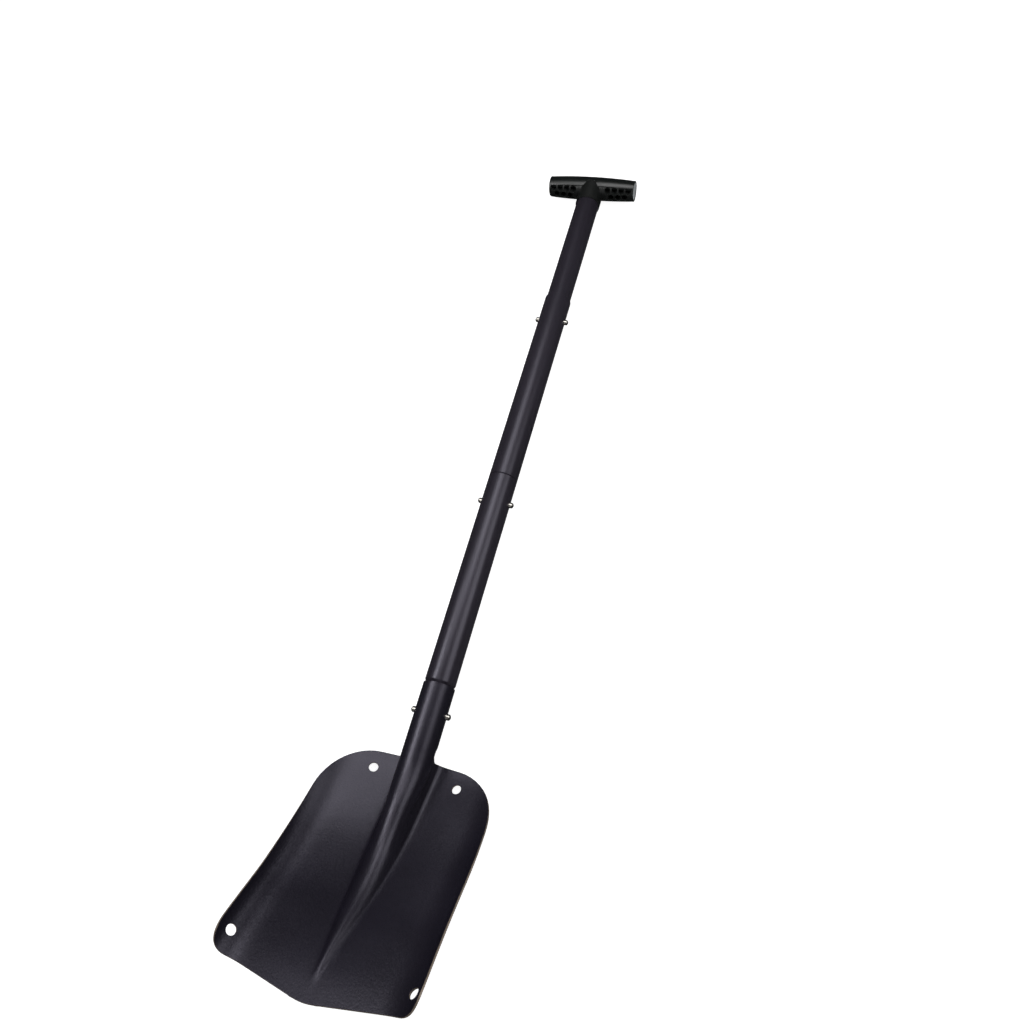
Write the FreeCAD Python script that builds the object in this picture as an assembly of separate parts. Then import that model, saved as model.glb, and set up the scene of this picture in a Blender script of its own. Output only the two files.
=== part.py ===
"""Three-piece avalanche shovel: pressed blade, telescoping tube shaft and T-grip.

The model is drawn about the shaft. X runs across the blade, Y runs along the shaft from the
blade to the grip, and Z points up out of the scoop. The rim of the blade's socket is at
Y = 0 on the shaft's axis. At the end everything is moved so that the origin is in the
middle of the bounding box's bottom face.
"""
import FreeCAD, Part

import math
import os

V = FreeCAD.Vector

# ---- Shaft tubes -------------------------------------------------------------------------
SOCKET_OUTER_R = 16.0       # rolled socket on the blade
SOCKET_WALL = 1.7
TUBE_OUTER_R = 15.6         # lower and middle tube
TUBE_WALL = 1.2
UPPER_WALL = 1.2
SLIDE_CLEARANCE = 0.08      # radial clearance of every tube in tube fit
SOCKET_LENGTH = 56.0        # closed, all-round part of the socket, from its rim
ARCH_LENGTH = 14.0          # half-round part between the socket and the blade
SOCKET_PLUG_SHORT = 2.0     # the lower tube's end stays this far inside the closed part
TUBE_PLUG_LENGTH = 58.0     # how far the middle tube goes into the lower tube
UPPER_PLUG_LENGTH = 76.0    # how far the upper tube goes into the middle tube
LOWER_SHOWN = 233.0         # from the socket's rim to the lower tube's rim
MIDDLE_SHOWN = 248.5        # from the lower tube's rim to the middle tube's rim
SOCKET_GROOVE = 0.6         # gap between the socket's rim and the start of the swage
SOCKET_SWAGE = 2.8          # length of the swage cone at the socket
TUBE_GROOVE = 0.3
TUBE_SWAGE = 1.0
HUB_DEPTH = 22.0            # how far the upper tube goes into the grip's hub
TELESCOPE_TRAVEL = 152.0    # from the upper adjustment holes to the spare pair

# ---- Spring buttons ----------------------------------------------------------------------
BUTTON_R = 3.0
BUTTON_HOLE_CLEARANCE = 0.2
BUTTON_PROUD = 4.6          # height above the tube that it locks
BUTTON_DOME = 1.8           # height of the domed end
BUTTON_FROM_RIM = (27.2, 29.0, 30.5)
RIVET_R = 1.5               # shank that holds the button in the leaf spring
RIVET_LENGTH = 1.4
LEAF_THICKNESS = 0.8
LEAF_WIDTH = 9.0
LEAF_LENGTH = 30.0          # straight leg, from the button to the bend
LEAF_END = 5.5              # leg beyond the button
LEAF_GAP = 0.5              # space between the leg and the tube's bore
RIVET_CLEARANCE = 0.1

# ---- Blade -------------------------------------------------------------------------------
SHEET = 1.5
SOCKET_TO_DATUM = 56.0      # the blade's distances count from this far above the closed part's end
LAP_INSET = 0.05            # the rib's arch lies this far inside the socket's outer face
SOCKET_FEATHER = 6.0        # the socket's outer face dives under the arch over this length
LAP_LENGTH = 7.0            # how far the arch runs under the socket beyond the heel edge
BLADE_LENGTH = 271.0        # from the datum to the point of the lower edge
LOWER_EDGE_RISE = 0.165     # how steeply the lower edge rises to each side
APEX_R = 60.0
CORNER_R = 25.5
SHOULDER_R = 50.0
HEEL_EDGE = 70.5            # distance of the heel edge beside the rib from the datum
HEEL_EDGE_DROP = 3.6        # how far the heel edge falls back towards the shoulder
HEEL_ROUND = 4.0            # width of the small round between the rib's foot and the heel edge
FLAT_HALF_WIDTH_HEEL = 88.0  # half widths of the unrolled sheet
FLAT_HALF_WIDTH_TIP = 97.5
FLAT_WIDTH_HEEL_AT = 115.0
FLAT_WIDTH_TIP_AT = 240.0
CURL_START = 61.0           # where the flat pan turns up into the side
CURL_R_TIP = 27.5
CURL_R_GAIN = 21.5          # how much larger the side's radius is near the heel
CURL_R_FROM = 200.0
CURL_R_OVER = 85.0
VALLEY_ROUND = 6.0
VALLEY_SHARE = 1.25         # foot of the rib, as a share of its half width
HOLE_R = 4.5
HOLE_TOP = (42.7, 17.3)     # X and distance from the heel edge, both mirrored
HOLE_LOW = (79.7, 29.0)     # X and distance from the lower point, both mirrored
HEEL_DEPTH = 20.5           # how far the pan's middle line lies below the shaft's axis at the heel
# distance from the datum, then the height of the pan's middle line above the shaft's axis
PAN_LINE = ((50, -24.5), (75, -HEEL_DEPTH), (88, -17.0), (110, -9.0), (135, 2.0), (158, 14.5),
            (190, 35.5), (220, 58.5), (251, 81.0), (270, 92.5), (300, 110.0))
PAN_SLOPE = ((50, 0.2), (88, 0.2), (159, 0.12), (200, 0.06), (262, 0.0), (300, 0.0))
ARCH_R = SOCKET_OUTER_R - LAP_INSET
ARCH_TO = 75.0              # the rib's arch runs level with the socket down to here
RIB_HEIGHT = ((ARCH_TO, ARCH_R + HEEL_DEPTH), (110, 30.0), (135, 22.5), (158, 15.5),
              (175, 12.0), (190, 9.4), (220, 5.6), (240, 3.0), (251, 0.9), (258, 0.0), (300, 0.0))
RIB_HALF_WIDTH = ((75, ARCH_R), (110, 15.0), (150, 14.0), (175, 12.4), (200, 9.8), (216, 7.4),
                  (232, 4.6), (251, 2.4), (300, 2.2))
RIB_RIDGE = ((75, 0.0), (85, 0.0), (165, 1.0), (300, 1.0))
RIDGE_SHARE = 1.12          # foot of the ridge, as a share of the rib's half width
RIDGE_POWER = 0.9
RIB_STRIP = 13.0            # narrowest half width of the strip of sheet that holds the rib
# the rib's control columns 6, 7 and 8: how wide, how far down the flank, how far out to the strip
FLANK_WIDTH = (0.98, 1.06, VALLEY_SHARE)
FLANK_DROP = (0.45, 0.85, 1.0)
FLANK_REACH = (0.0, 0.5, 1.0)
ARCH_COLUMNS = 5            # control columns on the round arch, the crest's not counted
RIB_COLUMNS = 8
PAN_COLUMNS = 12
ARCH_PITCH = 22.5           # degrees between the arch's control columns
ARCH_SHARE = 0.55           # most of the rib's rise that the round arch takes up
ROW_PITCH = 6.0
FIRST_ROW = 50.0
SURFACE_MARGIN = (14.5, 19.0)  # how far the surface runs past the sheet's side and lower point

# ---- Grip --------------------------------------------------------------------------------
HUB_STOP = 4.5              # gap left between the hub and the middle tube's rim when slid in
HUB_LENGTH = 29.7           # from the hub's lower end to the grip's axis
GRIP_HALF_LENGTH = 55.3
GRIP_MIDDLE_R = 14.5
GRIP_END_R = 12.4
COVER_EDGE = 7.7            # the palm cover reaches this far past the axis towards the blade
COVER_WALL = 2.6
COVER_STEP = 0.9            # how far the cover stands proud of the honeycomb side
COVER_GAP = 0.1
HUB_WALL = 1.08
HUB_ROUND = 2.0
HEX_FLATS = 7.2
HEX_WALL = 1.6
HEX_FLOOR = 5.0             # distance of the pocket floor from the grip's axis
HEX_FROM_HUB = 3.5          # wall between the hub and the first pocket
HEX_COUNT = 4
CAP_RIM = 2.2               # rim left round an end cap
CAP_DEPTH = 2.2
CAP_RECESS = 0.4
CAP_GAP = 0.1

# ---- Values worked out from the above ----------------------------------------------------
SOCKET_BORE_R = SOCKET_OUTER_R - SOCKET_WALL
SOCKET_PLUG_LENGTH = SOCKET_LENGTH - SOCKET_PLUG_SHORT
TUBE_BORE_R = TUBE_OUTER_R - TUBE_WALL
SOCKET_PLUG_R = SOCKET_BORE_R - SLIDE_CLEARANCE
TUBE_PLUG_R = TUBE_BORE_R - SLIDE_CLEARANCE
UPPER_OUTER_R = TUBE_BORE_R - SLIDE_CLEARANCE
HOLE_FOR_BUTTON_R = BUTTON_R + BUTTON_HOLE_CLEARANCE
RIMS = (0.0, LOWER_SHOWN, LOWER_SHOWN + MIDDLE_SHOWN)
BUTTON_AT = tuple(rim - back for rim, back in zip(RIMS, BUTTON_FROM_RIM))
SPARE_HOLE_AT = BUTTON_AT[2] - TELESCOPE_TRAVEL
LOCKED_TUBE_R = (SOCKET_OUTER_R, TUBE_OUTER_R, TUBE_OUTER_R)
INNER_BORE_R = (SOCKET_PLUG_R - TUBE_WALL, TUBE_PLUG_R - TUBE_WALL, UPPER_OUTER_R - UPPER_WALL)
HUB_START = RIMS[2] + TELESCOPE_TRAVEL + HUB_STOP
GRIP_AXIS = HUB_START + HUB_LENGTH
UPPER_TUBE_END = HUB_START + HUB_DEPTH
HUB_R = UPPER_OUTER_R + HUB_WALL
HEX_FIRST = HUB_R + HEX_FROM_HUB + HEX_FLATS / 2
CAP_R = GRIP_END_R - CAP_RIM
BLADE_DATUM = SOCKET_LENGTH - SOCKET_TO_DATUM
CHART_HALF_WIDTH = FLAT_HALF_WIDTH_TIP + SURFACE_MARGIN[0]
ROWS = math.ceil((BLADE_LENGTH + SURFACE_MARGIN[1] - FIRST_ROW) / ROW_PITCH) + 1


# ---- Small helpers -----------------------------------------------------------------------
def between(table, at):
    """Smooth value at a distance, from (distance, value) pairs, without overshoot."""
    if at <= table[0][0]:
        return table[0][1]
    for n in range(len(table) - 1):
        (a, low), (b, high) = table[n], table[n + 1]
        if at <= b:
            slope = (high - low) / (b - a)
            start = end = slope
            if n > 0:
                start = shared_slope(slope, (low - table[n - 1][1]) / (a - table[n - 1][0]))
            if n + 2 < len(table):
                end = shared_slope(slope, (table[n + 2][1] - high) / (table[n + 2][0] - b))
            t = (at - a) / (b - a)
            rise = (high - low) * (3 * t * t - 2 * t * t * t)
            return low + rise + (b - a) * (start * t * (1 - t) ** 2 - end * t * t * (1 - t))
    return table[-1][1]


def shared_slope(one, other):
    """Harmonic mean of two slopes, or 0 where they have different signs."""
    return 2 * one * other / (one + other) if one * other > 0 else 0.0


def cylinder(radius, start, end):
    """Cylinder about the shaft's axis between two distances along Y."""
    return Part.makeCylinder(radius, end - start, V(0, start, 0), V(0, 1, 0))


def cross_hole(radius, at):
    """Round cutter right through the shaft, along X."""
    return Part.makeCylinder(radius, 4 * SOCKET_OUTER_R, V(-2 * SOCKET_OUTER_R, at, 0), V(1, 0, 0))


def turned(points):
    """Solid turned about the shaft's axis from a closed (radius, distance) outline."""
    corners = [V(radius, along, 0) for radius, along in points]
    face = Part.Face(Part.makePolygon(corners + corners[:1]))
    return face.revolve(V(0, 0, 0), V(0, 1, 0), 360)


def mirrored(shape):
    return shape.mirror(V(0, 0, 0), V(1, 0, 0))


# ---- Shaft -------------------------------------------------------------------------------
def plugged_tube(plug_r, plug_length, rim, groove, swage, top):
    """Tube whose lower end is swaged down to fit the part below it."""
    start = rim - plug_length
    neck = rim + groove
    return turned([
        (plug_r, start),
        (plug_r, neck),
        (TUBE_OUTER_R, neck + swage),
        (TUBE_OUTER_R, top),
        (TUBE_BORE_R, top),
        (TUBE_BORE_R, neck + swage + TUBE_WALL),
        (plug_r - TUBE_WALL, neck + TUBE_WALL),
        (plug_r - TUBE_WALL, start),
    ])


def lower_tube():
    tube = plugged_tube(SOCKET_PLUG_R, SOCKET_PLUG_LENGTH, RIMS[0], SOCKET_GROOVE,
                        SOCKET_SWAGE, RIMS[1])
    for at in BUTTON_AT[:2]:
        tube = tube.cut(cross_hole(HOLE_FOR_BUTTON_R, at))
    return tube


def middle_tube():
    tube = plugged_tube(TUBE_PLUG_R, TUBE_PLUG_LENGTH, RIMS[1], TUBE_GROOVE, TUBE_SWAGE, RIMS[2])
    for at in (BUTTON_AT[1], SPARE_HOLE_AT, BUTTON_AT[2]):
        tube = tube.cut(cross_hole(HOLE_FOR_BUTTON_R, at))
    return tube


def upper_tube():
    start = RIMS[2] - UPPER_PLUG_LENGTH
    tube = cylinder(UPPER_OUTER_R, start, UPPER_TUBE_END)
    tube = tube.cut(cylinder(UPPER_OUTER_R - UPPER_WALL, start - 1, UPPER_TUBE_END + 1))
    return tube.cut(cross_hole(HOLE_FOR_BUTTON_R, BUTTON_AT[2]))


def leaf_outer_x(joint):
    """X of the outer face of a spring's leg."""
    return INNER_BORE_R[joint] - LEAF_GAP - flat_sagitta(joint)


def flat_sagitta(joint):
    """How much a flat leg of LEAF_WIDTH must stand back from the round bore."""
    bore = INNER_BORE_R[joint]
    return bore - math.sqrt(bore ** 2 - (LEAF_WIDTH / 2) ** 2)


def clip_spring(joint):
    """Leaf spring bent into a U, with its legs along the bore."""
    outer = leaf_outer_x(joint)
    inner = outer - LEAF_THICKNESS
    open_end = BUTTON_AT[joint] + LEAF_END
    bend = BUTTON_AT[joint] - LEAF_LENGTH
    half = -LEAF_WIDTH / 2
    outline = [
        Part.makeLine(V(outer, open_end, half), V(outer, bend, half)),
        Part.Arc(V(outer, bend, half), V(0, bend - outer, half), V(-outer, bend, half)).toShape(),
        Part.makeLine(V(-outer, bend, half), V(-outer, open_end, half)),
        Part.makeLine(V(-outer, open_end, half), V(-inner, open_end, half)),
        Part.makeLine(V(-inner, open_end, half), V(-inner, bend, half)),
        Part.Arc(V(-inner, bend, half), V(0, bend - inner, half), V(inner, bend, half)).toShape(),
        Part.makeLine(V(inner, bend, half), V(inner, open_end, half)),
        Part.makeLine(V(inner, open_end, half), V(outer, open_end, half)),
    ]
    spring = Part.Face(Part.Wire(outline)).extrude(V(0, 0, LEAF_WIDTH))
    return spring.cut(cross_hole(RIVET_R + RIVET_CLEARANCE, BUTTON_AT[joint]))


def clip_button(joint):
    """Right-hand spring button: a domed pin with a rivet shank through the leaf spring."""
    foot = leaf_outer_x(joint)
    tip = LOCKED_TUBE_R[joint] + BUTTON_PROUD
    shoulder = tip - BUTTON_DOME
    dome_r = (BUTTON_R ** 2 + BUTTON_DOME ** 2) / (2 * BUTTON_DOME)
    half_angle = math.asin(BUTTON_R / dome_r) / 2
    on_dome = V(tip - dome_r + dome_r * math.cos(half_angle), dome_r * math.sin(half_angle), 0)
    outline = [
        Part.makeLine(V(foot - RIVET_LENGTH, 0, 0), V(foot - RIVET_LENGTH, RIVET_R, 0)),
        Part.makeLine(V(foot - RIVET_LENGTH, RIVET_R, 0), V(foot, RIVET_R, 0)),
        Part.makeLine(V(foot, RIVET_R, 0), V(foot, BUTTON_R, 0)),
        Part.makeLine(V(foot, BUTTON_R, 0), V(shoulder, BUTTON_R, 0)),
        Part.Arc(V(shoulder, BUTTON_R, 0), on_dome, V(tip, 0, 0)).toShape(),
        Part.makeLine(V(tip, 0, 0), V(foot - RIVET_LENGTH, 0, 0)),
    ]
    button = Part.Face(Part.Wire(outline)).revolve(V(0, 0, 0), V(1, 0, 0), 360)
    button.translate(V(0, BUTTON_AT[joint], 0))
    return button


# ---- Blade -------------------------------------------------------------------------------
def pan_point(flat, back):
    """Formed position of a point of the sheet beside the rib.

    flat is the distance from the middle line along the sheet, back the distance from the rim.
    """
    slope = between(PAN_SLOPE, back)
    middle = between(PAN_LINE, back)
    straight = min(flat, CURL_START)
    x = straight
    z = middle + slope * (math.hypot(straight, VALLEY_ROUND) - VALLEY_ROUND)
    if flat > CURL_START:
        growth = max(CURL_R_FROM - back, 0.0) / CURL_R_OVER
        radius = CURL_R_TIP + CURL_R_GAIN * growth ** 2
        start = math.atan(slope)
        end = start + (flat - CURL_START) / radius
        x += radius * (math.sin(end) - math.sin(start))
        z += radius * (math.cos(start) - math.cos(end))
    return V(x, -back, z)


def rib_strip(back):
    """Half width of the strip of sheet that the rib's control points span."""
    return max(between(RIB_HALF_WIDTH, back) * VALLEY_SHARE, RIB_STRIP)


def rib_point(column, back):
    """Control point of the rib: a round arch at the socket that fades into a crisp ridge."""
    width = between(RIB_HALF_WIDTH, back)
    height = between(RIB_HEIGHT, back)
    foot = width * VALLEY_SHARE
    strip = rib_strip(back)
    floor = pan_point(strip, back).z
    crest = ARCH_R if back < ARCH_TO else between(PAN_LINE, back) + height
    rise = max(crest - floor, 0.0)
    # a curve through control points one pitch apart lies inside them by this factor
    step = math.radians(ARCH_PITCH)
    outward = 3 / (2 + math.cos(step))
    arch = min(width, ARCH_SHARE * rise)
    if column <= ARCH_COLUMNS:
        x = width * outward * math.sin(column * step)
        z = crest - arch + arch * outward * math.cos(column * step)
    else:
        flank = column - ARCH_COLUMNS - 1
        side = crest - arch * (1 - math.cos(ARCH_COLUMNS * step))
        x = width * FLANK_WIDTH[flank] + (strip - foot) * FLANK_REACH[flank]
        z = side + (floor - side) * FLANK_DROP[flank]
    ridge_x = strip * column / RIB_COLUMNS
    ridge_z = pan_point(ridge_x, back).z
    share = ridge_x / (width * RIDGE_SHARE)
    if share < 1:
        ridge_z += height * (1 - share ** 2) ** RIDGE_POWER
    fade = between(RIB_RIDGE, back)
    return V(x + (ridge_x - x) * fade, -back, z + (ridge_z - z) * fade)


def sheet_grid():
    """Control points of the sheet's upper face, and of the same sheet laid flat."""
    formed, flat = [], []
    for row in range(ROWS):
        back = FIRST_ROW + row * ROW_PITCH
        foot = rib_strip(back)
        half, chart = [], []
        for column in range(RIB_COLUMNS + 1):
            half.append(rib_point(column, back))
            chart.append(foot * column / RIB_COLUMNS)
        for column in range(1, PAN_COLUMNS + 1):
            along = foot + (CHART_HALF_WIDTH - foot) * column / PAN_COLUMNS
            half.append(pan_point(along, back))
            chart.append(along)
        formed.append([V(-p.x, p.y, p.z) for p in reversed(half[1:])] + half)
        flat.append([V(-s, -back, 0) for s in reversed(chart[1:])] + [V(s, -back, 0) for s in chart])
    return formed, flat


def lowered(grid, depth):
    """The grid moved down along its own normals."""
    moved = []
    for r, row in enumerate(grid):
        line = []
        for c, point in enumerate(row):
            along = grid[min(r + 1, len(grid) - 1)][c] - grid[max(r - 1, 0)][c]
            across = row[min(c + 1, len(row) - 1)] - row[max(c - 1, 0)]
            normal = across.cross(along)
            normal.normalize()
            line.append(point + normal * depth)
        moved.append(line)
    return moved


def spline_surface(grid):
    """Even cubic surface over a grid of control points."""
    surface = Part.BSplineSurface()
    counts = []
    for size in (len(grid), len(grid[0])):
        counts.append(([4] + [1] * (size - 4) + [4], [float(n) for n in range(size - 2)]))
    surface.buildFromPolesMultsKnots(grid, counts[0][0], counts[1][0], counts[0][1], counts[1][1],
                                     False, False, 3, 3)
    return surface


def flat_half_width(back):
    """Half width of the flat sheet, which widens evenly from the heel to the tip."""
    share = (back - FLAT_WIDTH_HEEL_AT) / (FLAT_WIDTH_TIP_AT - FLAT_WIDTH_HEEL_AT)
    return FLAT_HALF_WIDTH_HEEL + share * (FLAT_HALF_WIDTH_TIP - FLAT_HALF_WIDTH_HEEL)


def rounded_corner(before, corner, after, radius):
    """Points of a round between two straight edges, tangent to both."""
    one = before - corner
    other = after - corner
    one.normalize()
    other.normalize()
    half = one.getAngle(other) / 2
    centre = corner + (one + other).normalize() * (radius / math.sin(half))
    start = corner + one * (radius / math.tan(half))
    end = corner + other * (radius / math.tan(half))
    middle = centre + (corner - centre).normalize() * radius
    arc = Part.Arc(start, middle, end)
    first, last = arc.parameter(start), arc.parameter(end)
    return [arc.value(first + (last - first) * n / 12) for n in range(13)]


def flat_outline():
    """Edges of the right half of the flat sheet, each a list of points, from heel to tip."""
    lap = HEEL_EDGE - LAP_LENGTH
    foot = rib_strip(HEEL_EDGE)
    arch = foot * 3 / RIB_COLUMNS
    flank = foot * 5.5 / RIB_COLUMNS
    heel = V(foot + HEEL_ROUND, -HEEL_EDGE - HEEL_ROUND / 10, 0)
    shoulder = V(flat_half_width(HEEL_EDGE), -HEEL_EDGE - HEEL_EDGE_DROP, 0)
    side_back = BLADE_LENGTH - LOWER_EDGE_RISE * FLAT_HALF_WIDTH_TIP
    corner = V(flat_half_width(side_back), -side_back, 0)
    apex = V(0, -BLADE_LENGTH, 0)
    far_corner = V(-corner.x, corner.y, 0)
    upper = rounded_corner(heel, shoulder, corner, SHOULDER_R)
    lower = rounded_corner(shoulder, corner, apex, CORNER_R)
    point = rounded_corner(corner, apex, far_corner, APEX_R)[:7]
    return [
        [V(0, -lap, 0), V(arch, -lap, 0)],
        [V(arch, -lap, 0), V(flank, -HEEL_EDGE + 0.5, 0), V(foot, -HEEL_EDGE, 0), heel],
        [heel, upper[0]],
        upper,
        [upper[-1], lower[0]],
        lower,
        [lower[-1], point[0]],
        point,
    ]


def spread(points, pitch):
    """Straight stretches get extra points, so that they stay straight on the formed sheet."""
    found = [points[0]]
    for start, end in zip(points, points[1:]):
        steps = max(int(math.ceil((end - start).Length / pitch)), 1)
        found += [start + (end - start) * (n / steps) for n in range(1, steps + 1)]
    return found


def sheet_solid():
    """The pressed sheet: upper face, lower face and the cut edge all round."""
    formed, flat = sheet_grid()
    upper = spline_surface(formed)
    lower = spline_surface(lowered(formed, SHEET))
    chart = spline_surface(flat)
    right = flat_outline()
    left = [[V(-p.x, p.y, p.z) for p in reversed(edge)] for edge in reversed(right)]
    walls, rims = [], {"upper": [], "lower": []}
    for edge in right + left:
        places = [chart.parameter(p) for p in spread(edge, 4.0)]
        curve = Part.Geom2d.BSplineCurve2d()
        curve.interpolate([FreeCAD.Base.Vector2d(u, v) for u, v in places])
        above = curve.toShape(upper)
        below = curve.toShape(lower)
        rims["upper"].append(above)
        rims["lower"].append(below)
        walls.append(Part.makeRuledSurface(above, below))
    faces = [Part.Face(upper, Part.Wire(rims["upper"])), Part.Face(lower, Part.Wire(rims["lower"]))]
    for face in faces:
        face.validate()
    shell = Part.Shell(faces + walls)
    shell.sewShape()
    solid = Part.Solid(shell)
    if solid.Volume < 0:
        solid.reverse()
    return solid, upper


def sheet_frame(upper, x, back):
    """Point of the sheet's upper face above a place, and the direction square to it."""
    hits = upper.intersect(Part.LineSegment(V(x, -back, -200), V(x, -back, 300)).toBSpline())
    point = hits[0][0] if isinstance(hits[0], (list, tuple)) else hits[0]
    spot = V(point.X, point.Y, point.Z)
    u, v = upper.parameter(spot)
    normal = upper.normal(u, v)
    if normal.z < 0:
        normal = normal * -1
    return spot, normal


def socket():
    """Rolled socket: a full tube, then an arch where its underside is cut away."""
    end = SOCKET_LENGTH + ARCH_LENGTH
    tube = turned([
        (SOCKET_OUTER_R, 0),
        (SOCKET_OUTER_R, SOCKET_FEATHER - end),
        (ARCH_R - LAP_INSET, -end),
        (SOCKET_BORE_R, -end),
        (SOCKET_BORE_R, 0),
    ])
    away = Part.makeBox(4 * SOCKET_OUTER_R, ARCH_LENGTH + 5, 2 * SOCKET_OUTER_R,
                        V(-2 * SOCKET_OUTER_R, -end - 5, -2 * SOCKET_OUTER_R))
    edges = [e for e in away.Edges if abs(e.CenterOfMass.y + SOCKET_LENGTH) < 1e-6
             and abs(e.CenterOfMass.z) < 1e-6]
    away = away.makeFillet(ARCH_LENGTH / 2, edges)
    tube = tube.cut(away)
    return tube.cut(cross_hole(HOLE_FOR_BUTTON_R, BUTTON_AT[0]))


def blade_holes(upper):
    """Spot and direction of the four lashing holes."""
    places = []
    for x, back in ((HOLE_TOP[0], HEEL_EDGE + HOLE_TOP[1]), (HOLE_LOW[0], BLADE_LENGTH - HOLE_LOW[1])):
        spot, normal = sheet_frame(upper, x, back)
        places.append((spot, normal))
        places.append((V(-spot.x, spot.y, spot.z), V(-normal.x, normal.y, normal.z)))
    return places


def blade():
    sheet, upper = sheet_solid()
    for spot, normal in blade_holes(upper):
        reach = 4 * SHEET
        sheet = sheet.cut(Part.makeCylinder(HOLE_R, 2 * reach, spot - normal * reach, normal))
    sheet.translate(V(0, -BLADE_DATUM, 0))
    return socket().fuse(sheet).removeSplitter()


# ---- Grip --------------------------------------------------------------------------------
def barrel(inset):
    """Barrel about the grip's axis, thickest in the middle, set in by inset all round."""
    middle = GRIP_MIDDLE_R - inset
    end = GRIP_END_R - inset
    half = GRIP_HALF_LENGTH
    outline = [
        Part.makeLine(V(-half, 0, 0), V(-half, end, 0)),
        Part.Arc(V(-half, end, 0), V(0, middle, 0), V(half, end, 0)).toShape(),
        Part.makeLine(V(half, end, 0), V(half, 0, 0)),
        Part.makeLine(V(half, 0, 0), V(-half, 0, 0)),
    ]
    solid = Part.Face(Part.Wire(outline)).revolve(V(0, 0, 0), V(1, 0, 0), 360)
    solid.translate(V(0, GRIP_AXIS, 0))
    return solid


def palm_side(edge):
    """Block that covers the grip from a plane square to the shaft to beyond its far side."""
    size = 4 * GRIP_HALF_LENGTH
    return Part.makeBox(size, size, size, V(-size / 2, edge, -size / 2))


def hub(radius, start, end):
    """Hub round the upper tube, with a rounded far end."""
    solid = cylinder(radius, start, end)
    far = [e for e in solid.Edges if abs(e.CenterOfMass.y - end) < 1e-6 and len(e.Vertexes) == 1]
    return solid.makeFillet(HUB_ROUND, far)


def cap_seat(side, radius, depth):
    """Disc at one end of the grip; side is -1 or 1."""
    start = V(side * (GRIP_HALF_LENGTH - depth), GRIP_AXIS, 0)
    return Part.makeCylinder(radius, depth + 1, start, V(side, 0, 0))


def hex_pocket(x, z):
    """Hexagonal cutter that opens towards the blade."""
    corner = HEX_FLATS / math.sqrt(3)
    start = GRIP_AXIS - 2 * GRIP_MIDDLE_R
    ring = []
    for n in range(6):
        angle = math.radians(30 + 60 * n)
        ring.append(V(x + corner * math.cos(angle), start, z + corner * math.sin(angle)))
    face = Part.Face(Part.makePolygon(ring + ring[:1]))
    return face.extrude(V(0, GRIP_AXIS - HEX_FLOOR - start, 0))


def hex_places():
    """Honeycomb of three rows on each side of the hub."""
    pitch = HEX_FLATS + HEX_WALL
    row_pitch = pitch * math.sin(math.radians(60))
    places = []
    for row in (-1, 0, 1):
        for n in range(HEX_COUNT - (row == 0)):
            x = HEX_FIRST + pitch * (n + 0.5 * (row == 0))
            places += [(x, row * row_pitch), (-x, row * row_pitch)]
    return places


def grip_core():
    edge = GRIP_AXIS - COVER_EDGE
    finger_side = barrel(COVER_STEP).cut(palm_side(edge))
    inside = barrel(COVER_WALL + COVER_GAP).common(palm_side(edge - 1))
    core = finger_side.fuse(inside)
    for x, z in hex_places():
        core = core.cut(hex_pocket(x, z))
    core = core.fuse(hub(HUB_R, HUB_START, GRIP_AXIS))
    for side in (-1, 1):
        core = core.cut(cap_seat(side, CAP_R + CAP_GAP, CAP_DEPTH + CAP_GAP))
    core = core.cut(cylinder(UPPER_OUTER_R + CAP_GAP / 2, HUB_START - 1, UPPER_TUBE_END + CAP_GAP))
    return core.removeSplitter()


def grip_cover():
    edge = GRIP_AXIS - COVER_EDGE + COVER_GAP
    cover = barrel(0).cut(hub(HUB_R + COVER_GAP, HUB_START, GRIP_AXIS + COVER_GAP))
    cover = cover.cut(barrel(COVER_WALL))
    for side in (-1, 1):
        cover = cover.cut(cap_seat(side, CAP_R + CAP_GAP, CAP_DEPTH + CAP_GAP))
    return cover.common(palm_side(edge)).removeSplitter()


def grip_end_cap(side):
    start = V(side * (GRIP_HALF_LENGTH - CAP_DEPTH), GRIP_AXIS, 0)
    cap = Part.makeCylinder(CAP_R, CAP_DEPTH - CAP_RECESS, start, V(side, 0, 0))
    return cap


# ---- Assembly ----------------------------------------------------------------------------
def all_parts():
    """Every node, drawn about the shaft."""
    parts = {
        "blade": blade(),
        "lower_tube": lower_tube(),
        "middle_tube": middle_tube(),
        "upper_tube": upper_tube(),
        "grip_core": grip_core(),
        "grip_cover": grip_cover(),
        "grip_end_cap_left": grip_end_cap(-1),
        "grip_end_cap_right": grip_end_cap(1),
    }
    for joint in range(3):
        name = f"{joint + 1}"
        button = clip_button(joint)
        parts[f"clip_spring_{name}"] = clip_spring(joint)
        parts[f"clip_button_right_{name}"] = button
        parts[f"clip_button_left_{name}"] = mirrored(button)
    return parts


def seat_offset(parts):
    """Move that puts the origin in the middle of the bounding box's bottom face."""
    boxes = [shape.optimalBoundingBox(False) for shape in parts.values()]
    low_y = min(box.YMin for box in boxes)
    high_y = max(box.YMax for box in boxes)
    return V(0, -(low_y + high_y) / 2, -min(box.ZMin for box in boxes))


def main():
    os.makedirs("parts", exist_ok=True)
    parts = all_parts()
    offset = seat_offset(parts)
    for name, shape in parts.items():
        shape.translate(offset)
        shape.exportStep(f"parts/{name}.step")
        print(name, "valid" if shape.isValid() else "INVALID", len(shape.Solids), round(shape.Volume, 1))
    print("moved by", offset)


if __name__ == "__main__":
    main()
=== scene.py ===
"""Avalanche shovel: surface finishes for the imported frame, a paper floor, soft light and a camera.

Lengths are in metres in the frame's own axes: X across the blade, Y along the shaft towards the
grip, Z up out of the scoop. The shovel lies on its blade and its grip.
"""

import math

import bpy
import numpy as np
from mathutils import Matrix, Vector


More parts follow.
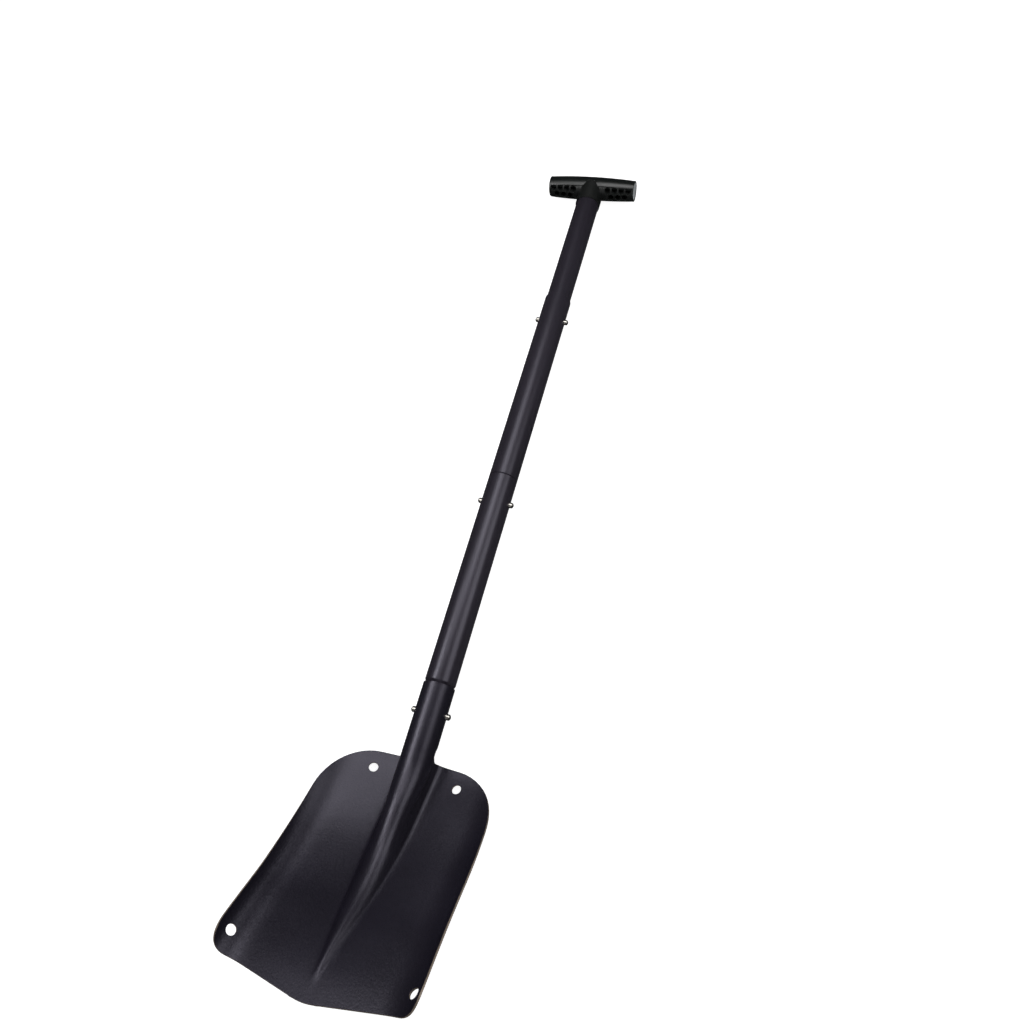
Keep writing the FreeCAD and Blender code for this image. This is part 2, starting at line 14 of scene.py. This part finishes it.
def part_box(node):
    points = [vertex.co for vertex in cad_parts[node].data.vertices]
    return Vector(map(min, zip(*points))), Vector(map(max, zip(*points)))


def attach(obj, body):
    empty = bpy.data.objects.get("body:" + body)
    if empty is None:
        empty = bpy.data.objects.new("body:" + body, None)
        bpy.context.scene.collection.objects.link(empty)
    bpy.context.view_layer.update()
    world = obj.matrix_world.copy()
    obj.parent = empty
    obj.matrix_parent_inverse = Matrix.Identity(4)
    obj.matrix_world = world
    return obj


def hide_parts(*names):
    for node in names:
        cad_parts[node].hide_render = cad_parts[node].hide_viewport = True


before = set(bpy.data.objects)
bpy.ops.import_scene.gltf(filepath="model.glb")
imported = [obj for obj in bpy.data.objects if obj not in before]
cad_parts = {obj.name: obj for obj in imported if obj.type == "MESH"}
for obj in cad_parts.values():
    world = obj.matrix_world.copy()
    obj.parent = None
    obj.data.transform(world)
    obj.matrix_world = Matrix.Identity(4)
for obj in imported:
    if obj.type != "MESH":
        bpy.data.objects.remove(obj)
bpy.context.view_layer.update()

bl_info = {
    "name": "Avalanche shovel finishes",
    "version": (1, 0, 0),
    "blender": (4, 5, 0),
    "location": "3D View > Sidebar > Shovel",
    "description": "Finishes for each part of a take-apart avalanche shovel, with a small studio",
    "category": "Object",
}

SHARP_ANGLE = math.radians(40)  # edges that turn more than this are cut edges
SOCKET_CLEAR = 0.004  # the bare metal stops this far short of the tube's end in the socket
WELD_DIGITS = 7  # corners that agree to this many digits of a metre are one corner
ROUNDING_SAMPLES = 4  # rays used by each rounded normal
COATING_TINT = (0.88, 0.84, 1.0, 1.0)  # violet cast in the coating's reflections
DYE_TINT = (0.88, 0.85, 1.0, 1.0)  # the same in those of the dyed tubes


# ---------------------------------------------------------------- shader building


class Wire:
    """A number that varies over a surface: one output socket, used in ordinary sums.

    Each operator adds one Math node, and a plain number may stand on either side of it.
    """

    def __init__(self, paint, socket):
        self.paint = paint
        self.socket = socket

    def maths(self, operation, first, second):
        """The output of one Math node whose two inputs are wires or numbers."""
        inputs = {0: first, 1: second}
        return self.paint.node("ShaderNodeMath", {"operation": operation}, inputs).out(0)

    def __add__(self, other):
        return self.maths("ADD", self, other)

    def __radd__(self, other):
        return self.maths("ADD", other, self)

    def __sub__(self, other):
        return self.maths("SUBTRACT", self, other)

    def __rsub__(self, other):
        return self.maths("SUBTRACT", other, self)

    def __mul__(self, other):
        return self.maths("MULTIPLY", self, other)

    def __rmul__(self, other):
        return self.maths("MULTIPLY", other, self)

    def step(self, low, high):
        """0 below low and 1 above high, with a smooth rise between them."""
        settings = {"interpolation_type": "SMOOTHSTEP"}
        inputs = {"Value": self, "From Min": low, "From Max": high}
        return self.paint.node("ShaderNodeMapRange", settings, inputs).out("Result")


class Built:
    """A node that has been added, for reading its outputs as wires."""

    def __init__(self, paint, node):
        self.paint = paint
        self.node = node

    def out(self, key):
        return Wire(self.paint, self.node.outputs[key])


class Paint:
    """One procedural material, built from the Principled shader outwards."""

    def __init__(self, name, slot):
        self.material = bpy.data.materials.new(name)
        self.material.use_nodes = True
        self.material["slot"] = slot
        self.tree = self.material.node_tree
        self.tree.nodes.clear()
        self.shader = self.node("ShaderNodeBsdfPrincipled", {}, {})
        surface = {"Surface": self.shader.out("BSDF")}
        self.node("ShaderNodeOutputMaterial", {}, surface)
        self.place = self.node("ShaderNodeTexCoord", {}, {}).out("Object")

    def node(self, kind, settings, sockets):
        """Adds one node: its settings first, then its sockets, each a wire or a value."""
        node = self.tree.nodes.new(kind)
        for name, value in settings.items():
            setattr(node, name, value)
        for key, value in sockets.items():
            self.feed(node.inputs[key], value)
        return Built(self, node)

    def feed(self, socket, value):
        """Links a wire to an input socket, or puts a plain value on it."""
        if isinstance(value, Wire):
            self.tree.links.new(value.socket, socket)
        else:
            socket.default_value = value

    def set(self, **sockets):
        """Sets or links the shader's sockets, with underscores for the spaces in their names."""
        for name, value in sockets.items():
            self.feed(self.shader.node.inputs[name.replace("_", " ").title()], value)

    def stretched(self, scale):
        """The place on the surface, with its three axes scaled."""
        sockets = {"Vector": self.place, "Scale": scale}
        return self.node("ShaderNodeMapping", {}, sockets).out("Vector")

    def cloud(self, size, detail=2.0, rough=0.5, stretch=(1, 1, 1)):
        """Noise from 0 to 1 whose soft spots are about one size across, in metres."""
        sockets = {
            "Vector": self.stretched(stretch),
            "Scale": 1 / size,
            "Detail": detail,
            "Roughness": rough,
        }
        return self.node("ShaderNodeTexNoise", {}, sockets).out(0)

    def specks(self, size, share):
        """1 on small round specks, one in each cell of that size, and kept on a share of cells."""
        sockets = {"Vector": self.place, "Scale": 1 / size}
        cells = self.node("ShaderNodeTexVoronoi", {}, sockets)
        near = 1 - cells.out("Distance").step(0.16, 0.34)
        parts = self.node("ShaderNodeSeparateColor", {}, {"Color": cells.out("Color")})
        return near * parts.out(0).step(1 - share, 1 - 0.6 * share)

    def rounded(self, reach):
        """The surface's normal, with every arris rounded over reach."""
        settings = {"samples": ROUNDING_SAMPLES}
        return self.node("ShaderNodeBevel", settings, {"Radius": reach}).out(0)

    def worn(self, reach):
        """1 on arrises, fading out over reach: where a rounded normal turns from the flat one."""
        rounded = self.rounded(reach)
        flat = self.node("ShaderNodeNewGeometry", {}, {}).out("Normal")
        sockets = {0: rounded, 1: flat}
        settings = {"operation": "DOT_PRODUCT"}
        same = self.node("ShaderNodeVectorMath", settings, sockets).out("Value")
        return (1 - same).step(0.02, 0.25)

    def blend(self, factor, first, second):
        """A colour mixed from two colours by a factor."""
        mixed = self.node("ShaderNodeMix", {"data_type": "RGBA"}, {}).node
        for key, value in (("Factor", factor), ("A", first), ("B", second)):
            self.feed(next(s for s in mixed.inputs if s.name == key and s.enabled), value)
        return Wire(self, next(s for s in mixed.outputs if s.enabled))

    def bump(self, height, depth, reach=0.0):
        """A normal for a surface raised by height times depth in metres, its arrises rounded."""
        sockets = {"Height": height, "Distance": depth, "Strength": 1.0}
        if reach:
            sockets["Normal"] = self.rounded(reach)
        return self.node("ShaderNodeBump", {}, sockets).out("Normal")


def shade(colour, factor):
    """A colour, brighter or darker by a factor, with its alpha."""
    return tuple(min(1.0, c * factor) for c in colour[:3]) + (1.0,)


# ---------------------------------------------------------------- finishes


def grained_coating(name, colour, grain, roughness, slot):
    """Baked powder coating: a low, close orange-peel grain, with scattered small specks painted
    brighter as glints.
    """
    paint = Paint(name, slot)
    drift = paint.cloud(0.07, 3.0)
    fine = paint.cloud(grain, 2.0, 0.6)
    peel = paint.cloud(3.5 * grain, 1.0)
    # painted glints: small specks that are lightened in the colour as sparkle and made a little
    # glossier
    glint_speck = paint.specks(1.6 * grain, 0.35)
    arris = paint.worn(0.0009)
    ground = paint.blend(drift.step(0.3, 0.7), shade(colour, 0.82), shade(colour, 1.18))
    ground = paint.blend(fine.step(0.35, 0.75) * 0.5, ground, shade(colour, 1.9))
    # painted glints: the specks lighten the colour
    ground = paint.blend(glint_speck * 0.35, ground, shade(colour, 4.5))
    ground = paint.blend(arris * 0.3, ground, shade(colour, 3.0))
    paint.set(
        base_color=ground,
        specular_tint=COATING_TINT,
        roughness=roughness + 0.10 * (fine - 0.5) + 0.06 * (drift - 0.5) - 0.1 * glint_speck,
        normal=paint.bump(0.6 * fine + 0.8 * peel, 0.2 * grain, 0.0003),
    )
    return paint.material


def cut_metal(name, colour, slot):
    """The bare wall of the cut sheet: dull oxidised metal with marks across its thickness."""
    paint = Paint(name, slot)
    patch = paint.cloud(0.012, 3.0)
    marks = paint.cloud(0.0006, 2.0)
    ground = paint.blend(patch, shade(colour, 0.55), shade(colour, 1.25))
    ground = paint.blend(marks * 0.5, ground, shade(colour, 0.5))
    paint.set(
        base_color=ground,
        metallic=0.55,
        roughness=0.42 + 0.2 * patch,
        normal=paint.bump(marks, 0.00008, 0.0003),
    )
    return paint.material


def dyed_tube(name, colour, roughness, slot):
    """Dyed aluminium tube: fine drawing lines along the shaft over a satin bead-blasted skin, with
    small specks painted brighter as glints.
    """
    paint = Paint(name, slot)
    drawn = paint.cloud(0.0011, 3.0, 0.55, (1, 0.012, 1))
    drift = paint.cloud(0.09, 3.0, 0.5, (1, 0.4, 1))
    skin = paint.cloud(0.0005, 2.0)
    glint_speck = paint.specks(0.0011, 0.2)
    arris = paint.worn(0.0006)
    ground = paint.blend(drift.step(0.3, 0.7), shade(colour, 0.85), shade(colour, 1.15))
    ground = paint.blend(drawn.step(0.4, 0.8) * 0.35, ground, shade(colour, 1.8))
    # painted glints: small specks lightened in the colour as sparkle
    ground = paint.blend(glint_speck * 0.3, ground, shade(colour, 3.5))
    ground = paint.blend(arris * 0.35, ground, shade(colour, 4.0))
    paint.set(
        base_color=ground,
        specular_tint=DYE_TINT,
        roughness=roughness + 0.12 * (drawn - 0.5) + 0.08 * (drift - 0.5),
        normal=paint.bump(0.5 * drawn + 0.7 * skin, 0.00003, 0.0002),
    )
    return paint.material


def bright_nickel(name, colour, slot):
    """Plated push button: bright metal with fine rub marks and duller patches."""
    paint = Paint(name, slot)
    patch = paint.cloud(0.002, 3.0)
    rub = paint.cloud(0.0002, 2.0)
    ground = paint.blend(patch.step(0.35, 0.8) * 0.5, shade(colour, 1.0), shade(colour, 0.55))
    paint.set(
        base_color=ground,
        metallic=1.0,
        roughness=0.16 + 0.14 * rub + 0.08 * patch,
        normal=paint.bump(rub, 0.00001, 0.00015),
    )
    return paint.material


def spring_steel(name, colour, slot):
    """Rolled spring strip: brushed along its length, with a straw-coloured heat tint."""
    paint = Paint(name, slot)
    brushed = paint.cloud(0.0006, 3.0, 0.6, (1, 0.03, 1))
    tint = paint.cloud(0.012, 2.0)
    straw = (colour[0] * 0.95, colour[1] * 0.8, colour[2] * 0.6, 1.0)
    ground = paint.blend(tint.step(0.4, 0.7) * 0.6, colour, straw)
    ground = paint.blend(brushed * 0.5, ground, shade(colour, 0.6))
    paint.set(
        base_color=ground,
        metallic=1.0,
        roughness=0.28 + 0.2 * brushed,
        normal=paint.bump(brushed, 0.00002, 0.0002),
    )
    return paint.material


def moulded_plastic(name, colour, texture, roughness, depth, slot):
    """Moulded plastic: the spark-eroded texture of its tool, and paler rubbed arrises."""
    paint = Paint(name, slot)
    drift = paint.cloud(0.03, 3.0)
    pores = paint.cloud(texture, 2.0, 0.6)
    flow = paint.cloud(0.006, 2.0, 0.5, (0.25, 1, 1))
    arris = paint.worn(0.0007)
    ground = paint.blend(drift.step(0.3, 0.7), shade(colour, 0.8), shade(colour, 1.2))
    ground = paint.blend(pores.step(0.45, 0.8) * 0.4, ground, shade(colour, 1.8))
    ground = paint.blend(arris * 0.35, ground, shade(colour, 3.5))
    paint.set(
        base_color=ground,
        roughness=roughness + 0.12 * (pores - 0.5) + 0.06 * (flow - 0.5),
        normal=paint.bump(pores + 0.4 * flow, depth, 0.0003),
    )
    return paint.material


def studio_paper(name, colour, glow):
    """Matt paper with a faint cloudiness, lifted a little so that it reads as pale."""
    paint = Paint(name, "stage")
    cloud = paint.cloud(0.5, 3.0)
    fibre = paint.cloud(0.002, 2.0)
    ground = paint.blend(cloud * 0.5, colour, shade(colour, 0.97))
    paint.set(
        base_color=ground,
        roughness=0.9,
        normal=paint.bump(fibre, 0.00005),
        emission_color=(1.0, 1.0, 1.0, 1.0),
        emission_strength=glow,
    )
    return paint.material


# ---------------------------------------------------------------- shapes


def corner_table(mesh):
    """(places, triangles): each distinct corner once, and each triangle as three of their numbers.

    Corners that only differ in their normals are welded by rounding their places.
    """
    places = np.zeros(len(mesh.vertices) * 3, np.float32)
    mesh.vertices.foreach_get("co", places)
    places = places.reshape(-1, 3).astype(float)
    corners = np.zeros(len(mesh.polygons) * 3, np.int32)
    mesh.polygons.foreach_get("vertices", corners)
    _, first, number = np.unique(
        np.round(places, WELD_DIGITS), axis=0, return_index=True, return_inverse=True
    )
    return places[first], number.reshape(-1)[corners].reshape(-1, 3)


def cut_wall(mesh, below):
    """True for each triangle on the cut wall of the sheet, for those lying wholly below a Y.

    An edge is sharp where its two triangles turn by more than SHARP_ANGLE. A triangle is on the
    wall when all its three corners lie on sharp edges, because the wall runs between two of them.
    """
    places, triangles = corner_table(mesh)
    a, b, c = (places[triangles[:, k]] for k in range(3))
    normals = np.cross(b - a, c - a)
    normals /= np.maximum(np.linalg.norm(normals, axis=1), 1e-30)[:, None]
    sides = np.sort(np.concatenate([triangles[:, [k, (k + 1) % 3]] for k in range(3)]), axis=1)
    owner = np.tile(np.arange(len(triangles)), 3)
    order = np.lexsort((owner, sides[:, 1], sides[:, 0]))
    sides, owner = sides[order], owner[order]
    paired = np.all(sides[:-1] == sides[1:], axis=1)
    turn = np.einsum("ij,ij->i", normals[owner[:-1]], normals[owner[1:]])
    sharp = paired & (turn < math.cos(SHARP_ANGLE))
    on_edge = np.zeros(len(places), bool)
    on_edge[sides[:-1][sharp].ravel()] = True
    return on_edge[triangles].all(axis=1) & (places[triangles][:, :, 1].max(axis=1) < below)


def flat_grid(name, half, cells, level):
    """A square of cells by cells: X and Y run evenly from -half to half, Z stays at level."""
    line = np.linspace(-half, half, cells + 1)
    x, y = np.meshgrid(line, line, indexing="ij")
    points = np.stack([x.ravel(), y.ravel(), np.full(x.size, level)], axis=1)
    return grid_piece(name, points, x.shape)


def round_wall(name, radius, height, sides):
    """An upright drum seen from inside: X = radius cos a, Y = radius sin a, Z from 0 to height."""
    turn = np.linspace(0, -2 * math.pi, sides + 1)
    a, z = np.meshgrid(turn, (0, height), indexing="ij")
    points = np.stack([radius * np.cos(a), radius * np.sin(a), z], axis=2).reshape(-1, 3)
    return grid_piece(name, points, a.shape)


def grid_piece(name, points, shape):
    """An object whose corners are points, row by row, with one four-sided face in every cell."""
    index = np.arange(len(points)).reshape(shape)
    corners = (index[:-1, :-1], index[1:, :-1], index[1:, 1:], index[:-1, 1:])
    faces = np.stack([part.ravel() for part in corners], axis=1)
    mesh = bpy.data.meshes.new(name)
    mesh.from_pydata(points.tolist(), [], faces.tolist())
    piece = bpy.data.objects.new(name, mesh)
    bpy.context.scene.collection.objects.link(piece)
    return piece


def dress(names, material):
    """Puts a material in every slot of the CAD nodes of these names."""
    for name in names:
        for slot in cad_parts[name].material_slots:
            slot.material = material


def nodes_called(start):
    """The CAD nodes whose names begin with these letters."""
    return [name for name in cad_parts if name.startswith(start)]


# ---------------------------------------------------------------- settings


def colour_setting(name, description, default):
    return bpy.props.FloatVectorProperty(
        name=name, description=description, default=default, size=4, subtype="COLOR", min=0, max=1
    )


def length_setting(name, description, default):
    return bpy.props.FloatProperty(
        name=name, description=description, default=default, unit="LENGTH", min=0
    )


def angle_setting(name, description, default):
    return bpy.props.FloatProperty(
        name=name, description=description, default=math.radians(default), subtype="ANGLE"
    )


class ShovelFinishes(bpy.types.PropertyGroup):
    """Colours and textures of the shovel's parts."""

    blade: colour_setting(
        "Blade coating", "Colour of the powder coating", (0.0072, 0.0062, 0.0108, 1)
    )
    blade_edge: colour_setting(
        "Cut edge", "Bare metal where the sheet was cut", (0.30, 0.24, 0.19, 1)
    )
    grain: length_setting("Coating grain", "Size of the grain of the coating", 0.00055)
    tube: colour_setting("Tubes", "Dyed skin of the three tubes", (0.0185, 0.0160, 0.0225, 1))
    nickel: colour_setting("Buttons", "Plating of the push buttons", (0.66, 0.63, 0.58, 1))
    spring: colour_setting("Leaf springs", "Spring strip inside the tubes", (0.40, 0.40, 0.41, 1))
    grip: colour_setting("Grip core", "Ribbed side of the grip", (0.0050, 0.0060, 0.0056, 1))
    cover: colour_setting("Grip cover", "Smooth palm side", (0.0060, 0.0074, 0.0070, 1))
    cap: colour_setting("End caps", "Discs in the ends of the grip", (0.30, 0.32, 0.33, 1))


class ShovelStudio(bpy.types.PropertyGroup):
    """Where the camera stands, and how pale the paper is."""

    aim_across: length_setting("Aim across", "Sideways place that the camera looks at", 0.0204)
    aim_along: bpy.props.FloatProperty(
        name="Aim along", description="Place along the shaft", default=-0.0088, unit="LENGTH"
    )
    distance: length_setting("Distance", "From the camera to the shaft", 0.8748)
    azimuth: angle_setting("Azimuth", "Camera's bearing from the X axis", -55.62)
    elevation: angle_setting("Elevation", "Camera's height above the floor's plane", 61.77)
    roll: angle_setting("Roll", "Turn of the camera about its own axis", -21.25)
    lens: bpy.props.FloatProperty(
        name="Lens", description="Focal length on a 36 mm sensor", default=28.86, min=1
    )
    floor: colour_setting("Floor", "Colour of the paper", (0.55, 0.55, 0.56, 1))
    glow: bpy.props.FloatProperty(
        name="Floor lift", description="Light given off by the paper", default=0.95, min=0
    )


# ---------------------------------------------------------------- operators


class SHOVEL_OT_blade(bpy.types.Operator):
    """Makes the formed sheet with its coating and its bare cut edge"""

    bl_idname = "shovel.blade"
    bl_label = "Finish the blade"

    ROUGHNESS = 0.33

    def execute(self, context):
        look = context.scene.shovel_finishes
        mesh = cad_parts["blade"].data.copy()
        mesh.name = "blade_sheet"
        mesh.materials.clear()
        coating = grained_coating(
            "blade_coating", look.blade, look.grain, self.ROUGHNESS, "blade"
        )
        mesh.materials.append(coating)
        mesh.materials.append(cut_metal("blade_cut_metal", look.blade_edge, "blade"))
        wall = cut_wall(mesh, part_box("lower_tube")[0].y - SOCKET_CLEAR)
        mesh.polygons.foreach_set("material_index", wall.astype(np.int32))
        sheet = bpy.data.objects.new("blade_sheet", mesh)
        context.scene.collection.objects.link(sheet)
        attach(sheet, "blade_body")
        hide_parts("blade")
        return {"FINISHED"}


class SHOVEL_OT_tubes(bpy.types.Operator):
    """Gives the three shaft tubes their dyed satin skin"""

    bl_idname = "shovel.tubes"
    bl_label = "Finish the tubes"

    ROUGHNESS = {"lower_tube": 0.31, "middle_tube": 0.32, "upper_tube": 0.33}

    def execute(self, context):
        look = context.scene.shovel_finishes
        for name, roughness in self.ROUGHNESS.items():
            dress([name], dyed_tube(name + "_skin", look.tube, roughness, "tube"))
        return {"FINISHED"}


class SHOVEL_OT_clips(bpy.types.Operator):
    """Gives the push buttons their plating and the leaf springs their brushed steel"""

    bl_idname = "shovel.clips"
    bl_label = "Finish the button clips"

    def execute(self, context):
        look = context.scene.shovel_finishes
        dress(nodes_called("clip_button"), bright_nickel("button_nickel", look.nickel, "steel"))
        dress(nodes_called("clip_spring"), spring_steel("spring_strip", look.spring, "spring"))
        return {"FINISHED"}


class SHOVEL_OT_grip(bpy.types.Operator):
    """Gives the grip's core, its palm cover and its end caps their plastics"""

    bl_idname = "shovel.grip"
    bl_label = "Finish the grip"

    def execute(self, context):
        look = context.scene.shovel_finishes
        core = moulded_plastic("grip_core_plastic", look.grip, 0.0005, 0.42, 0.00005, "grip")
        cover = moulded_plastic("grip_cover_plastic", look.cover, 0.0008, 0.30, 0.00002, "cover")
        cap = moulded_plastic("end_cap_plastic", look.cap, 0.0006, 0.45, 0.00003, "cap")
        dress(["grip_core"], core)
        dress(["grip_cover"], cover)
        dress(nodes_called("grip_end_cap"), cap)
        return {"FINISHED"}


class SHOVEL_OT_studio(bpy.types.Operator):
    """Lays the paper floor and its wall, hangs the lamps and places the camera"""

    bl_idname = "shovel.studio"
    bl_label = "Set up the studio"

    FLOOR_HALF = 6.0
    FLOOR_CELLS = 24
    FLOOR_DROP = 0.0002  # keeps the paper off the points that rest on it
    WALL_RADIUS = 5.5
    WALL_HEIGHT = 8.0
    WALL_SIDES = 64
    AIR_COLOUR = (0.95, 0.97, 1.0, 1.0)
    AIR_LIGHT = 0.03
    SENSOR = 36.0  # millimetres
    NEAREST = 0.01  # the camera sees nothing closer than this
    LAMPS = (
        # name, place, size, power
        ("left_box", (-0.75, -0.10, 1.09), 0.45, 6.2),
        ("right_box", (0.91, 0.23, 0.89), 0.80, 5.2),
        ("top_box", (0.05, 0.55, 1.17), 0.60, 4.0),
        ("back_box", (-0.34, 0.33, 1.21), 0.60, 2.6),
        ("front_box", (0.0, -1.23, 0.67), 0.45, 1.2),
    )

    def execute(self, context):
        scene = context.scene
        look = scene.shovel_studio
        floor = flat_grid("paper_floor", self.FLOOR_HALF, self.FLOOR_CELLS, -self.FLOOR_DROP)
        floor.data.materials.append(studio_paper("floor_paper", look.floor, look.glow))
        floor.visible_glossy = False
        wall = round_wall("paper_wall", self.WALL_RADIUS, self.WALL_HEIGHT, self.WALL_SIDES)
        wall.data.materials.append(floor.data.materials[0])
        wall.visible_glossy = wall.visible_diffuse = False  # seen, but gives no light
        axis = sum(corner.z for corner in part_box("lower_tube")) / 2
        aim = Vector((look.aim_across, look.aim_along, axis))
        self.hang_lamps(scene, aim)
        self.place_camera(scene, look, aim)
        world = bpy.data.worlds.new("studio_world")
        world.use_nodes = True
        background = world.node_tree.nodes["Background"]
        background.inputs["Color"].default_value = self.AIR_COLOUR
        background.inputs["Strength"].default_value = self.AIR_LIGHT
        scene.world = world
        scene.view_settings.view_transform = "Standard"
        return {"FINISHED"}

    def hang_lamps(self, scene, aim):
        """Square soft lamps, each turned to face the aim."""
        for name, place, size, power in self.LAMPS:
            lamp = bpy.data.lights.new(name, "AREA")
            lamp.shape = "SQUARE"
            lamp.size = size
            lamp.energy = power
            holder = bpy.data.objects.new(name, lamp)
            holder.location = place
            holder.rotation_euler = (aim - holder.location).to_track_quat("-Z", "Y").to_euler()
            scene.collection.objects.link(holder)

    def place_camera(self, scene, look, aim):
        """Backs off from the aim by the distance, along the azimuth and elevation, then rolls."""
        level = math.cos(look.elevation)
        back = Vector(
            (
                level * math.cos(look.azimuth),
                level * math.sin(look.azimuth),
                math.sin(look.elevation),
            )
        )
        right = Vector((0, 0, 1)).cross(back).normalized()
        up = back.cross(right)
        across = right * math.cos(look.roll) + up * math.sin(look.roll)
        turn = Matrix((across, back.cross(across), back)).transposed()
        lens = bpy.data.cameras.new("studio_camera")
        lens.lens = look.lens
        lens.sensor_width = self.SENSOR
        lens.clip_start = self.NEAREST
        camera = bpy.data.objects.new("studio_camera", lens)
        camera.matrix_world = Matrix.Translation(aim + look.distance * back) @ turn.to_4x4()
        scene.collection.objects.link(camera)
        scene.camera = camera


class SHOVEL_PT_sidebar(bpy.types.Panel):
    """Lists the finishes, the studio's settings and the operators"""

    bl_idname = "SHOVEL_PT_sidebar"
    bl_label = "Avalanche shovel"
    bl_space_type = "VIEW_3D"
    bl_region_type = "UI"
    bl_category = "Shovel"

    def draw(self, context):
        for group in (context.scene.shovel_finishes, context.scene.shovel_studio):
            box = self.layout.box()
            for name in group.__annotations__:
                box.prop(group, name)
        for step in STEPS:
            self.layout.operator(step.bl_idname)


STEPS = (SHOVEL_OT_blade, SHOVEL_OT_tubes, SHOVEL_OT_clips, SHOVEL_OT_grip, SHOVEL_OT_studio)
CLASSES = (ShovelFinishes, ShovelStudio, *STEPS, SHOVEL_PT_sidebar)


def register():
    for each in CLASSES:
        bpy.utils.register_class(each)
    bpy.types.Scene.shovel_finishes = bpy.props.PointerProperty(type=ShovelFinishes)
    bpy.types.Scene.shovel_studio = bpy.props.PointerProperty(type=ShovelStudio)


def unregister():
    del bpy.types.Scene.shovel_studio
    del bpy.types.Scene.shovel_finishes
    for each in reversed(CLASSES):
        bpy.utils.unregister_class(each)


def main():
    """Registers the add-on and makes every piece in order."""
    register()
    for step in STEPS:
        getattr(bpy.ops.shovel, step.bl_idname.split(".")[1])()


if __name__ == "__main__":
    main()
